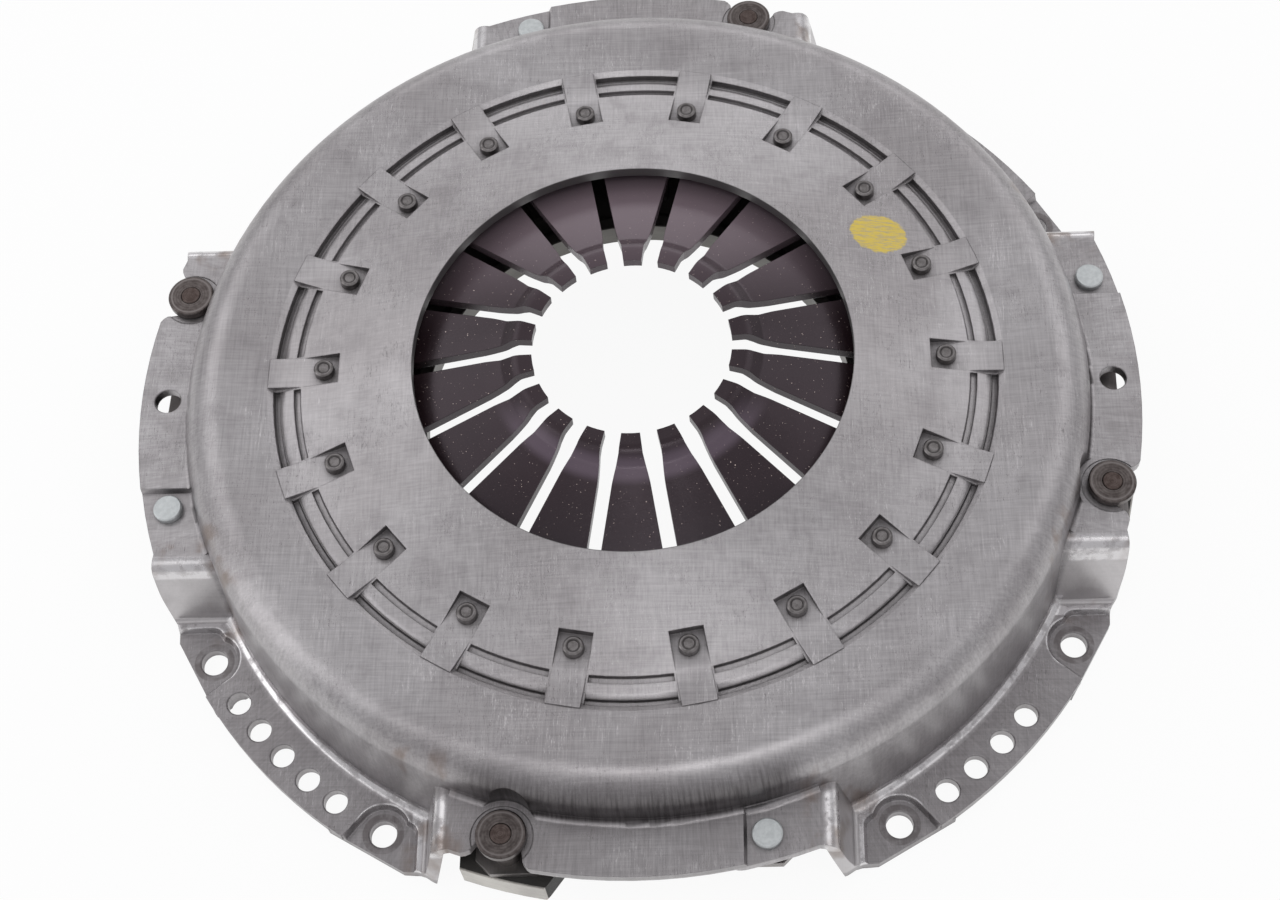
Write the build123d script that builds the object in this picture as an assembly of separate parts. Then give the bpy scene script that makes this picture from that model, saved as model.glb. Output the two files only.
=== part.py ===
from build123d import *
import os
from math import atan2, cos, degrees, hypot, radians, sin, sqrt, tan

# Push-type diaphragm-spring clutch cover assembly. Millimetres.
# Z = 0 is the plane in which the bolt bosses meet the flywheel, +Z points to the release
# bearing, and the clutch axis is the Z axis. Strap unit 0 lies on +X.

# ---------------------------------------------------------------- clearances
SLIP = 0.15              # radial play of a shank in its hole
TOUCH = 0.05             # gap left between flat faces that meet
ROLL_GAP = 0.3           # gap left where round or coned faces meet

# ---------------------------------------------------------------- pressed cover
SHEET = 5.5              # sheet thickness of the pressed cover
OPENING_R = 98.7         # edge of the central opening
OPENING_Z = 84.8         # height of the top surface at that edge
CONE_FALL = 0.2335       # drop of the coned top per mm of radius
CONE_END_R = 162.3       # where the cone turns up to the crown
RIDGE_LINE = (166.0, 72.4)   # radius and height of the edge of the crown
CROWN_RISE = 0.095       # rise of the crown per mm of radius
BOLT_CIRCLE_R = 225.0    # bolt holes and balance holes
WALL_R = BOLT_CIRCLE_R - 19.0    # outer face of the wall at pad height
WALL_DRAFT = 0.065       # widening of the wall per mm of depth
SHOULDER_R = 17.5        # radius between the crown and the wall
FOOT_FILLET = 5.0        # wall to flange
FLANGE_RAISE = 3.5       # the flange between the bosses stands this far off the flywheel
FLANGE_R = BOLT_CIRCLE_R + 10.8  # outer radius of that flange
BOLT_HOLE_R = 6.0
BOSS_OFFSET = 30.0       # bolt bosses stand this many degrees each side of a strap unit
BOSS_EDGE = BOLT_CIRCLE_R + 9.9  # distance of a boss's straight outer edge from the axis
BOSS_CORNER = 4.1        # where that edge ends toward the strap unit, degrees from the hole
BOSS_SPAN = 5.5          # how far the low plate runs past the hole, degrees
SEAT_R = 10.8            # flat seat round a bolt hole
SEAT_FLARE = 14.8        # half width of the seat at the outer edge
SEAT_STEP = 40.0         # the round edge of the seat ends at this angle, short of the lip
SEAT_ROUNDING = 4.0      # corner of the seat beside the lip
SEAT_DRAFT = 25.0        # slope of the wall round that seat, degrees
BALANCE_HOLE_R = 5.3
PUNCH_ROLL = 0.45        # the punch draws in the upper edge of a hole by this much
BALANCE_PITCH = 4.25     # degrees between balance holes
BALANCE_HOLES = {        # middle of a quadrant: places of its holes, counted in pitches
    45: (-1, 0, 1, 2),
    135: (-2, -1, 0, 1),
    225: (-2, -1, 0, 1, 2),
    315: (-2, -1, 0, 1),
}

# ---------------------------------------------------------------- strap pads of the cover
UNIT_ANGLES = (0, 90, 180, 270)
PAD_Z = 49.9             # top of the raised pad
PAD_R = WALL_R + 23.6    # outer radius of the pad
PAD_END_Y = 77.0         # where the pad's round edge ends, measured along the unit's tangent
PAD_FILLET = 2.8         # pad to wall
RIVET_SEAT_DROP = 3.0    # the strap rivet's seat lies this far below the pad
RIVET_SEAT_Y = 45.4      # where the seat starts
RAMP_TOP_Y = 84.0        # where a pad's end turns down
RAMP_FOOT_Y = 92.5       # where the ramp reaches the lip beside the bolt seat
SEAT_Y = 98.2            # where the lip has stepped down to the flat seat
RAMP_TOP_BEND = 7.0
RAMP_FOOT_BEND = 2.5
RAMP_EDGE = (            # outer edge of the ramp in plan: distance from the wall, Y, rounding
    (11.0, 82.5, 6.0),
    (11.0, 88.5, 6.0),
    (6.4, 95.6, 5.0),
)
SIDE_HOLE_R = 6.0
SIDE_HOLE_PLACE = PAD_R - 12.1   # only units 0 and 180 have one
NOTCH_HALF = 7.8         # open notch round the spacer sleeve
NOTCH_MOUTH = 14.5       # its half width outside the pad's edge
COIN_R = 13.2            # coined seat of the stop washer
COIN_DEPTH = 0.4
RELIEF_R = 15.6          # the wall is hollowed to this radius round the stop washer

# ---------------------------------------------------------------- tabs and beads of the cover
FULCRUM_COUNT = 18
FULCRUM_R = 140.0        # circle of the fulcrum rivets
TAB_WIDTH = 15.0
TAB_INNER_R = 133.0
TAB_OUTER_R = 165.5
TAB_Z = 72.8             # top of the level tabs
TAB_MARGIN = 1.2         # solid left beside the recess under the top
BEAD_GAP = 0.9           # the beads end this far from a tab
BEAD_WALL = 0.5          # run of a bead's sloping wall
BEADS = (                # inner radius, outer radius, depth at the inner and the outer side
    (150.6, 154.0, 1.9, 1.9),
    (157.4, 160.4, 0.0, 0.9),
    (160.2, 163.4, 2.2, 2.2),
)

# ---------------------------------------------------------------- diaphragm spring
SPRING_T = 5.0
SPRING_SLOPE = 16.6      # cone angle of the free spring, degrees
SPRING_R = WALL_R - 12.0
TIP_R = 44.6
TIP_RISE = 4.9           # the fingertips stand this far above the cone's line
TIP_BEND_IN = 52.4       # radii between which a finger turns up
TIP_BEND_OUT = 58.9
TIP_CROWN_BEND = 7.5
TIP_HOLLOW_BEND = 5.0
SLOT_WIDTH = 6.3
SLOT_FLARE = ((TIP_R, 7.4), (54.0, 8.3), (62.0, 6.8), (66.0, SLOT_WIDTH))   # radius, slot width
WINDOW_R = 6.5           # round window at the root of each slot

# ---------------------------------------------------------------- fulcrum
WIRE_RING_R = 149.4
UPPER_WIRE_D = 8.0
LOWER_WIRE_D = 6.0
FULCRUM_HEAD_R = 11.2
FULCRUM_HEAD_T = 4.2
FULCRUM_SHOULDER_R = 5.0
FULCRUM_SHANK_R = 4.1
FULCRUM_TIP_R = 4.45
FULCRUM_TIP_H = 4.1
FULCRUM_TIP_BEVEL = 0.7
FULCRUM_DIMPLE_R = 2.6
FULCRUM_DIMPLE_DEPTH = 0.7

# ---------------------------------------------------------------- pressure plate
FRICTION_Z = 10.0        # friction face at rest
FRICTION_IN_R = 112.0
PLATE_R = WALL_R - 7.0
BORE_R = 99.3
LIP_BOTTOM_Z = 23.6
LIP_TOP_Z = 35.8
LIP_WIDTH = 6.0
BODY_TOP_Z = 31.0
RIDGE_R = SPRING_R - 6.0 # crest of the ring on which the spring presses
RIDGE_WIDTH = 8.0
RIDGE_BASE_WIDTH = 17.0
RIB_COUNT = 36
RIB_WIDTH = 5.0
RIB_TOP_Z = 34.0
RIB_IN_R = 118.0
EDGE_BEVEL = 1.5
LUG_SEAT_Z = 25.7
LUG_OUT_Y = -75.3        # straight flank of a lug, along the unit's tangent
LUG_IN_Y = -39.9         # flared flank at the lug's outer end
LUG_FLARE = 24.0         # how much wider that flank is at the plate
LUG_CORNER = 3.0
LUG_COUNTERBORE_R = 9.5
LUG_COUNTERBORE_DEPTH = 5.6

# ---------------------------------------------------------------- straps and their rivets
STRAP_LEAVES = 3
LEAF_T = 1.5
LEAF_WIDTH = 19.6
LEAF_HALF = 68.0         # half the length of a leaf
LEAF_CORNER = 6.2
LEAF_BEND_Y = 36.0       # the leaves are clamped flat beyond this
LEAF_BEND_R = 130.0
COVER_RIVET_ANGLE = 14.64
COVER_RIVET_R = PAD_R - 10.8
STOP_ANGLE = -14.53
STOP_R = PAD_R - 11.1
LUG_R = STOP_R + 11.7    # turned outer face of the plate's lugs
COVER_RIVET_SHANK_R = 4.5
COVER_RIVET_HEAD_R = 6.5
COVER_RIVET_HEAD_H = 3.1
COVER_RIVET_FOOT_R = 7.6
COVER_RIVET_FOOT_H = 3.0
SPACER_T = 2.6
SPACER_R = 9.0
LUG_RIVET_SHANK_R = 4.45
LUG_RIVET_HEAD_R = 8.6
LUG_RIVET_HEAD_H = 4.8
LUG_RIVET_TIP = 0.35     # the riveted end stands this far out of the stop washer
SLEEVE_R = 6.6
STOP_WASHER_R = 10.7
STOP_WASHER_T = 4.0
WASHER_BEVEL = 0.5

# ---------------------------------------------------------------- derived places
spring_fall = tan(radians(SPRING_SLOPE))
flange_top = SHEET + FLANGE_RAISE
tab_under = TAB_Z - SHEET
rivet_seat_z = PAD_Z - RIVET_SEAT_DROP
lip_y = SEAT_Y - FLANGE_RAISE * tan(radians(SEAT_DRAFT))
boss_corner_r = BOSS_EDGE / cos(radians(BOSS_CORNER))
boss_corner_angle = BOSS_OFFSET - BOSS_CORNER
fulcrum_angles = [i * 360 / FULCRUM_COUNT for i in range(FULCRUM_COUNT)]

# The round upper wire lies between the tabs' flat underside and the spring's cone.
upper_wire_z = tab_under - ROLL_GAP - UPPER_WIRE_D / 2
spring_top_at_ring = upper_wire_z - (UPPER_WIRE_D / 2 + ROLL_GAP) / cos(radians(SPRING_SLOPE))
spring_drop = SPRING_T / cos(radians(SPRING_SLOPE))
lower_wire_z = (spring_top_at_ring - spring_drop
                - (LOWER_WIRE_D / 2 + ROLL_GAP) / cos(radians(SPRING_SLOPE)))
fulcrum_head_z = lower_wire_z - LOWER_WIRE_D / 2 - ROLL_GAP

pack_height = STRAP_LEAVES * LEAF_T + (STRAP_LEAVES - 1) * TOUCH
pack_cover_top = rivet_seat_z - SHEET - SPACER_T - 2 * TOUCH
pack_lug_top = LUG_SEAT_Z + TOUCH + pack_height
chord_r = COVER_RIVET_R * cos(radians(COVER_RIVET_ANGLE))


def cone_z(r):
    """Height of the cover's coned top surface."""
    return OPENING_Z - (r - OPENING_R) * CONE_FALL


def wall_r(z):
    """Radius of the cover wall's outer face."""
    return WALL_R + (PAD_Z - z) * WALL_DRAFT


def spring_z(r):
    """Height of the free spring's upper surface."""
    return spring_top_at_ring - (r - WIRE_RING_R) * spring_fall


def parallel_points(points, distance):
    """The corner points of a polyline moved sideways, to the right of its direction."""
    moved = []
    for i, (x, y) in enumerate(points):
        normals = []
        for a, b in ((i - 1, i), (i, i + 1)):
            if a >= 0 and b < len(points):
                dx, dy = points[b][0] - points[a][0], points[b][1] - points[a][1]
                length = hypot(dx, dy)
                normals.append((dy / length, -dx / length))
        nx, ny = sum(n[0] for n in normals), sum(n[1] for n in normals)
        reach = distance * len(normals) / (nx * nx + ny * ny)
        moved.append((x + nx * reach, y + ny * reach))
    return moved


def bent_sheet(points, radii, thickness):
    """Section of a bent sheet: its top follows the points, rounded at each inner corner."""
    under = parallel_points(points, thickness)
    under_radii = []
    for i, radius in enumerate(radii):
        (ax, ay), (bx, by), (cx, cy) = points[i], points[i + 1], points[i + 2]
        turns_left = (bx - ax) * (cy - by) - (by - ay) * (cx - bx) > 0
        under_radii.append(radius + thickness if turns_left else radius - thickness)
    top_line = rounded_line(points, radii)
    under_line = rounded_line(under, under_radii)
    ends = [Line(points[0], under[0]), Line(points[-1], under[-1])]
    return make_face(top_line.edges() + under_line.edges() + ends)


def rounded_line(points, radii):
    """A polyline with each inner corner rounded; a radius under 0.1 leaves it sharp."""
    edges = []
    start = Vector(*points[0])
    for i, radius in enumerate(radii):
        corner = Vector(*points[i + 1])
        back = (Vector(*points[i]) - corner).normalized()
        ahead = (Vector(*points[i + 2]) - corner).normalized()
        if radius < 0.1:
            edges.append(Line(start, corner))
            start = corner
            continue
        half_turn = radians(180 - back.get_angle(ahead)) / 2
        reach = radius * tan(half_turn)
        centre = corner + (back + ahead).normalized() * (radius / cos(half_turn))
        middle = centre + (corner - centre).normalized() * radius
        first, last = corner + back * reach, corner + ahead * reach
        edges.append(Line(start, first))
        edges.append(ThreePointArc(first, middle, last))
        start = last
    edges.append(Line(start, Vector(*points[-1])))
    return Curve() + edges


def turned(section, angle=360.0, start=0.0):
    """Revolve an (r, z) section about the clutch axis from a start angle."""
    upright = Plane.XZ * section
    return Rot(Z=start) * revolve(upright, Axis.Z, angle)


def punched(r, z, place):
    """Tool for a punched hole of a sheet whose top lies at z, with its drawn-in upper edge."""
    hole = Pos(Z=z - 2 * SHEET) * extrude(Circle(r), 3 * SHEET)
    mouth = Pos(Z=z - PUNCH_ROLL) * extrude(Circle(r), 2 * PUNCH_ROLL, taper=-45)
    return place * (hole + mouth)


def ring(inner, outer, z0, z1):
    """A plain ring between two radii and two heights."""
    blank = Pos(Z=z0) * extrude(Circle(outer), z1 - z0)
    return blank - Pos(Z=z0 - 1) * extrude(Circle(inner), z1 - z0 + 2)


def post(radius, z0, z1, r, angle):
    """A vertical cylinder standing at a polar place."""
    return polar(r, angle) * Pos(Z=z0) * extrude(Circle(radius), z1 - z0)


def polar(r, angle):
    """Location on a circle, turned so that its X points outward."""
    return Rot(Z=angle) * Pos(X=r)


def bar(x0, x1, y0, y1, z0, z1):
    """A rectangular block between two corners."""
    size = Box(x1 - x0, y1 - y0, z1 - z0)
    return Pos((x0 + x1) / 2, (y0 + y1) / 2, (z0 + z1) / 2) * size


# ================================================================ cover
def cover_shell():
    """Coned top, crown, shoulder, wall and raised flange as one revolved sheet."""
    ridge_r, ridge_z = RIDGE_LINE
    # The crown line z = ridge_z + CROWN_RISE (r - ridge_r) meets the leaning wall line.
    wall_top = (ridge_z + CROWN_RISE * (WALL_R + PAD_Z * WALL_DRAFT - ridge_r)) / (
        1 + CROWN_RISE * WALL_DRAFT)
    points = [(OPENING_R - 5, cone_z(OPENING_R - 5)), (CONE_END_R, cone_z(CONE_END_R)),
              RIDGE_LINE, (wall_r(wall_top), wall_top), (wall_r(flange_top), flange_top),
              (FLANGE_R, flange_top)]
    shell = turned(bent_sheet(points, [0, 0, SHOULDER_R, FOOT_FILLET], SHEET))
    return shell - Pos(Z=OPENING_Z - 20) * extrude(Circle(OPENING_R), 40)


def bridge_outline():
    """Plan outline of one strap unit, from boss to boss, in the unit's own frame."""
    inside = WALL_R - 3
    span = BOSS_OFFSET + BOSS_SPAN
    pad_end = Vector(sqrt(PAD_R ** 2 - PAD_END_Y ** 2), PAD_END_Y)
    boss_in = Vector(boss_corner_r, 0).rotate(Axis.Z, boss_corner_angle)
    boss_out = Vector(BOSS_EDGE / cos(radians(BOSS_SPAN)), 0).rotate(Axis.Z, span)
    inner_out = Vector(inside, 0).rotate(Axis.Z, span)
    side = [pad_end] + [Vector(WALL_R + x, y) for x, y, rounding in RAMP_EDGE]
    side += [boss_in, boss_out, inner_out]
    other = [Vector(p.X, -p.Y) for p in side]
    radii = [rounding for x, y, rounding in RAMP_EDGE] + [0, 0]
    edges = [ThreePointArc(pad_end, Vector(PAD_R, 0), other[0])]
    for line in (side, other):
        edges += rounded_line([(p.X, p.Y) for p in line], radii).edges()
    edges += [ThreePointArc(inner_out, Vector(inside, 0), other[-1])]
    return Sketch() + make_face(edges) - sleeve_notch()


def beside_ramp(outline):
    """Tool that cuts the flange back to the unit's outline between ramp and boss."""
    start = degrees(atan2(PAD_END_Y, PAD_R))
    trims = Sketch()
    for side in (-1, 1):
        corners = [Vector(2 * PAD_R, 0).rotate(Axis.Z, angle)
                   for angle in sorted((side * start, side * boss_corner_angle))]
        wedge = Polygon((0, 0), *[(p.X, p.Y) for p in corners], align=None)
        trims += (wedge & Circle(FLANGE_R + 5)) - Circle(WALL_R + 1) - outline
    return Pos(Z=-1) * extrude(trims, flange_top + 2)


def unit_bridge():
    """One strap unit's pad, ramps and low boss plates, and the opening below them."""
    end = SEAT_Y + 50
    points = [(-end, SHEET), (-SEAT_Y, SHEET), (-lip_y, flange_top), (-RAMP_FOOT_Y, flange_top),
              (-RAMP_TOP_Y, PAD_Z), (RIVET_SEAT_Y, PAD_Z), (RIVET_SEAT_Y + 1.4, rivet_seat_z),
              (RAMP_TOP_Y, rivet_seat_z), (RAMP_FOOT_Y, flange_top), (lip_y, flange_top),
              (SEAT_Y, SHEET), (end, SHEET)]
    radii = [0, 0, RAMP_FOOT_BEND, RAMP_TOP_BEND, 0, 0, RAMP_TOP_BEND, RAMP_FOOT_BEND, 0, 0]
    depth = BOSS_EDGE + 10
    outline = bridge_outline()
    sheet = extrude(Plane.YZ * bent_sheet(points, radii, SHEET), depth)
    sheet &= Pos(Z=-1) * extrude(outline, PAD_Z + 10)
    sheet -= Pos(Z=-1) * extrude(Circle(WALL_R + 3), SHEET + 1.5)
    under = parallel_points(points, SHEET)[3:9]
    inner_bend = [RAMP_TOP_BEND - SHEET, 0, 0, RAMP_TOP_BEND - SHEET]
    floor = [Line(under[0], (under[0][0], -5)), Line((under[0][0], -5), (under[-1][0], -5)),
             Line((under[-1][0], -5), under[-1])]
    below = make_face(rounded_line(under, inner_bend).edges() + floor)
    window = extrude(Plane.YZ * below, depth) - Pos(Z=-6) * extrude(Circle(RIDGE_R), 2 * PAD_Z)
    return sheet, [window, beside_ramp(outline)]


def seat_recess(side):
    """Tool that presses the flat seat of one bolt boss, in the boss's own frame."""
    reach = FLANGE_R - BOLT_CIRCLE_R + 10
    edge = BOSS_EDGE - BOLT_CIRCLE_R
    step = (-SEAT_R * cos(radians(SEAT_STEP)), -SEAT_R * sin(radians(SEAT_STEP)))
    start = (-SEAT_R / 4, SEAT_R * sqrt(15) / 4)
    # The lip's foot line, Y = SEAT_Y in the unit's frame, seen from the hole.
    lip_gap = BOLT_CIRCLE_R * sin(radians(BOSS_OFFSET)) - SEAT_Y
    along, across = cos(radians(BOSS_OFFSET)), sin(radians(BOSS_OFFSET))
    corner = (step[0] + 0.5, -(lip_gap + (step[0] + 0.5) * across) / along)
    run = (corner[0] + 2 * SEAT_ROUNDING * along, corner[1] - 2 * SEAT_ROUNDING * across)
    arc = ThreePointArc(start, (-SEAT_R, 0), step)
    turn = rounded_line([step, corner, run], [SEAT_ROUNDING])
    rest = Polyline(run, (run[0], -24), (reach, -24), (reach, SEAT_FLARE), start)
    floor = make_face([arc] + turn.edges() + rest.edges())
    recess = Pos(Z=SHEET) * extrude(floor, 12, taper=-SEAT_DRAFT)
    recess += bar(edge, reach, -24, SEAT_FLARE, -1, SHEET + 6)
    return recess if side > 0 else mirror(recess, about=Plane.XZ)


def pad_fillets():
    """Round the inner corner between the pads and the wall, in the unit's frame."""
    step = degrees(atan2(RIVET_SEAT_Y, sqrt(WALL_R ** 2 - RIVET_SEAT_Y ** 2)))
    end = degrees(atan2(PAD_END_Y, sqrt(WALL_R ** 2 - PAD_END_Y ** 2)))
    fillets = Part()
    for z, first, last in ((PAD_Z, -end, step), (rivet_seat_z, step, end)):
        corner = Vector(wall_r(z), z)
        centre = corner + Vector(PAD_FILLET, PAD_FILLET)
        inner = centre - Vector(PAD_FILLET, PAD_FILLET) * sqrt(0.5)
        arc = ThreePointArc(corner + Vector(0, PAD_FILLET), inner, corner + Vector(PAD_FILLET, 0))
        back = Polyline(corner + Vector(PAD_FILLET, 0), corner + Vector(PAD_FILLET, -1),
                        corner + Vector(-2, -1), corner + Vector(-2, PAD_FILLET),
                        corner + Vector(0, PAD_FILLET))
        fillets += turned(make_face([arc] + back.edges()), last - first, first)
    return fillets


def sleeve_notch():
    """Open notch of the pad round the spacer sleeve, in plan in the unit's frame."""
    edge = PAD_R - STOP_R
    mouth = edge * (NOTCH_MOUTH - NOTCH_HALF) / (edge + 4) + NOTCH_HALF
    flank = [(0, NOTCH_HALF), (edge - 2.6, mouth - 1.2), (edge - 1.2, mouth + 0.6),
             (edge + 4, mouth + 14)]
    opening = Polygon(*flank, *[(x, -y) for x, y in reversed(flank)], align=None)
    shape = Sketch() + Circle(NOTCH_HALF).faces() + opening.faces()
    return polar(STOP_R, STOP_ANGLE) * shape


def bead_grooves():
    """The concentric pressed beads, interrupted at the tabs."""
    tabs = Part()
    for angle in fulcrum_angles:
        half = TAB_WIDTH / 2 + BEAD_GAP
        tabs += Rot(Z=angle) * bar(BEADS[0][0] - 5, BEADS[-1][1] + 5, -half, half,
                                   tab_under, OPENING_Z)
    grooves = Part()
    for inner, outer, inner_depth, outer_depth in BEADS:
        run_in = BEAD_WALL if inner_depth else 0
        section = Polygon(
            (inner, OPENING_Z - 5), (inner, cone_z(inner)),
            (inner + run_in, cone_z(inner + run_in) - inner_depth),
            (outer - BEAD_WALL, cone_z(outer - BEAD_WALL) - outer_depth),
            (outer, cone_z(outer) + 0.5), (outer, OPENING_Z - 5), align=None)
        grooves += turned(section)
    return grooves - tabs


def cover():
    """The pressed steel cover."""
    bridge, openings = unit_bridge()
    fillets = pad_fillets()
    cuts, plates, tabs, holes = [], [], [], []
    for unit in UNIT_ANGLES:
        turn = Rot(Z=unit)
        cuts += [turn * opening for opening in openings]
        plates += [turn * bridge, turn * fillets]
        for side in (-1, 1):
            place = polar(BOLT_CIRCLE_R, unit + side * BOSS_OFFSET)
            cuts.append(place * seat_recess(side))
            holes.append(punched(BOLT_HOLE_R, SHEET, place))
        holes.append(post(COVER_RIVET_SHANK_R + SLIP, rivet_seat_z - 2 * SHEET, PAD_Z,
                          COVER_RIVET_R, unit + COVER_RIVET_ANGLE))
        holes.append(post(COIN_R, PAD_Z - COIN_DEPTH, PAD_Z + 8, STOP_R, unit + STOP_ANGLE))
        holes.append(post(RELIEF_R, PAD_Z, PAD_Z + 22, STOP_R, unit + STOP_ANGLE))
    for unit in (0, 180):
        holes.append(punched(SIDE_HOLE_R, PAD_Z, polar(SIDE_HOLE_PLACE, unit)))
    for centre, places in BALANCE_HOLES.items():
        for i in places:
            holes.append(punched(BALANCE_HOLE_R, flange_top,
                                 polar(BOLT_CIRCLE_R, centre + i * BALANCE_PITCH)))
    half = TAB_WIDTH / 2
    for angle in fulcrum_angles:
        turn = Rot(Z=angle)
        rim = half + TAB_MARGIN
        tabs.append(turn * bar(TAB_INNER_R - TAB_MARGIN, BEADS[0][0], -rim, rim,
                               tab_under, TAB_Z - 1))
        tabs.append(turn * bar(TAB_INNER_R, TAB_OUTER_R, -half, half, tab_under, TAB_Z))
        holes.append(turn * bar(TAB_INNER_R, TAB_OUTER_R, -half, half, TAB_Z, OPENING_Z))
        holes.append(post(FULCRUM_SHANK_R + SLIP, tab_under - 5, TAB_Z + 1, FULCRUM_R, angle))
    shell = (cover_shell() - cuts) + plates
    shell = (shell - bead_grooves()) + tabs
    return shell - holes


# ================================================================ spring and fulcrum
def diaphragm_spring():
    """Coned spring disc with fingers cranked up at their tips."""
    tip_z = spring_z(TIP_BEND_OUT) + TIP_RISE
    points = [(TIP_R, tip_z - 0.3), (TIP_BEND_IN, tip_z), (TIP_BEND_OUT, spring_z(TIP_BEND_OUT)),
              (SPRING_R, spring_z(SPRING_R))]
    disc = turned(bent_sheet(points, [TIP_CROWN_BEND, TIP_HOLLOW_BEND], SPRING_T))
    upper = [(TIP_R - 8, SLOT_FLARE[0][1] / 2)] + [(r, width / 2) for r, width in SLOT_FLARE]
    upper.append((FULCRUM_R, SLOT_WIDTH / 2))
    lower = [(r, -y) for r, y in upper]
    outline = Polygon(*lower, *reversed(upper), align=None)
    window = Pos(FULCRUM_R) * Circle(WINDOW_R)
    slot = extrude(Sketch() + outline.faces() + window.faces(), 2 * OPENING_Z)
    slots = Part()
    for angle in fulcrum_angles:
        slots += Rot(Z=angle) * slot
    return disc - slots


def wire_ring(diameter, z):
    """A round wire bent to a closed ring."""
    return Pos(Z=z) * Torus(WIRE_RING_R, diameter / 2)


def fulcrum_rivet():
    """Shouldered rivet on its own axis: foot head, shoulder, shank and upset end."""
    tip_z = TAB_Z + FULCRUM_TIP_H
    profile = Polyline(
        (0, fulcrum_head_z - FULCRUM_HEAD_T),
        (FULCRUM_HEAD_R - 1.5, fulcrum_head_z - FULCRUM_HEAD_T),
        (FULCRUM_HEAD_R, fulcrum_head_z - FULCRUM_HEAD_T + 1.5),
        (FULCRUM_HEAD_R, fulcrum_head_z),
        (FULCRUM_SHOULDER_R, fulcrum_head_z),
        (FULCRUM_SHOULDER_R, tab_under - TOUCH),
        (FULCRUM_SHANK_R, tab_under - TOUCH),
        (FULCRUM_SHANK_R, TAB_Z + TOUCH),
        (FULCRUM_TIP_R, TAB_Z + TOUCH),
        (FULCRUM_TIP_R, tip_z - FULCRUM_TIP_BEVEL),
        (FULCRUM_TIP_R - FULCRUM_TIP_BEVEL, tip_z),
        (FULCRUM_DIMPLE_R, tip_z),
        (FULCRUM_DIMPLE_R - 0.5, tip_z - FULCRUM_DIMPLE_DEPTH),
        (0, tip_z - FULCRUM_DIMPLE_DEPTH),
        close=True,
    )
    return turned(make_face(profile.edges()))


# ================================================================ pressure plate
def pressure_plate():
    """Cast ring with a friction face, a spring ridge, ribs, a bore lip and four lugs."""
    ridge_top = spring_z(RIDGE_R) - spring_drop - ROLL_GAP - 0.2
    half, base = RIDGE_WIDTH / 2, RIDGE_BASE_WIDTH / 2
    lean = half * spring_fall
    outline = Polyline(
        (FRICTION_IN_R, FRICTION_Z),
        (PLATE_R - EDGE_BEVEL, FRICTION_Z),
        (PLATE_R, FRICTION_Z + EDGE_BEVEL),
        (PLATE_R, BODY_TOP_Z),
        (RIDGE_R + base, BODY_TOP_Z),
        (RIDGE_R + half, ridge_top - lean - 1),
        (RIDGE_R, ridge_top),
        (RIDGE_R - half, ridge_top - 1),
        (RIDGE_R - base, BODY_TOP_Z),
        (BORE_R + LIP_WIDTH + 5, BODY_TOP_Z),
        (BORE_R + LIP_WIDTH, LIP_TOP_Z),
        (BORE_R, LIP_TOP_Z),
        (BORE_R, LIP_BOTTOM_Z),
        (FRICTION_IN_R - 3, LIP_BOTTOM_Z),
        close=True,
    )
    plate = turned(make_face(outline.edges()))
    rib = bar(RIB_IN_R, RIDGE_R - 2, -RIB_WIDTH / 2, RIB_WIDTH / 2, BODY_TOP_Z - 1, RIB_TOP_Z)
    for i in range(RIB_COUNT):
        plate += Rot(Z=(i + 0.5) * 360 / RIB_COUNT) * rib
    lug = plate_lug()
    holes = Part()
    for unit in UNIT_ANGLES:
        plate += Rot(Z=unit) * lug
        holes += post(LUG_RIVET_SHANK_R + SLIP, FRICTION_Z - 1, BODY_TOP_Z, STOP_R,
                      unit + STOP_ANGLE)
        holes += post(LUG_COUNTERBORE_R, FRICTION_Z - 1, FRICTION_Z + LUG_COUNTERBORE_DEPTH,
                      STOP_R, unit + STOP_ANGLE)
    return plate - holes


def plate_lug():
    """One strap lug in the unit's frame: turned outer face, one straight and one flared flank."""
    root = PLATE_R - 12
    shape = Polygon((root - 10, LUG_OUT_Y), (LUG_R + 5, LUG_OUT_Y), (LUG_R + 5, LUG_IN_Y - 8),
                    (LUG_R - 5, LUG_IN_Y + 2), (root + 8, LUG_IN_Y + LUG_FLARE),
                    (root - 10, LUG_IN_Y + LUG_FLARE + 2), align=None)
    lug = Pos(Z=FRICTION_Z) * extrude(shape, LUG_SEAT_Z - FRICTION_Z)
    return lug & ring(PLATE_R - 14, LUG_R, 0, LUG_SEAT_Z + 1)


# ================================================================ straps, rivets, stops
def strap_leaf(number):
    """One leaf of a strap pack, counted from the bottom, bent down to the lug at rest."""
    lift = number * (LEAF_T + TOUCH)
    cover_z = pack_cover_top - pack_height + LEAF_T + lift
    lug_z = LUG_SEAT_Z + TOUCH + LEAF_T + lift
    points = [(-LEAF_HALF, lug_z), (-LEAF_BEND_Y, lug_z), (LEAF_BEND_Y, cover_z),
              (LEAF_HALF, cover_z)]
    section = bent_sheet(points, [LEAF_BEND_R, LEAF_BEND_R], LEAF_T)
    leaf = extrude(Plane.YZ * section, chord_r + LEAF_WIDTH)
    plan = Pos(chord_r) * chamfer(Rectangle(LEAF_WIDTH, 2 * LEAF_HALF).vertices(), LEAF_CORNER)
    leaf &= extrude(plan, PAD_Z)
    leaf -= post(COVER_RIVET_SHANK_R + SLIP, 0, PAD_Z, COVER_RIVET_R, COVER_RIVET_ANGLE)
    leaf -= post(LUG_RIVET_SHANK_R + SLIP, 0, PAD_Z, STOP_R, STOP_ANGLE)
    return leaf


def strap_spacer():
    """Washer between a rivet seat and the straps."""
    top = rivet_seat_z - SHEET - TOUCH
    return ring(COVER_RIVET_SHANK_R + SLIP, SPACER_R, top - SPACER_T, top)


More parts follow.
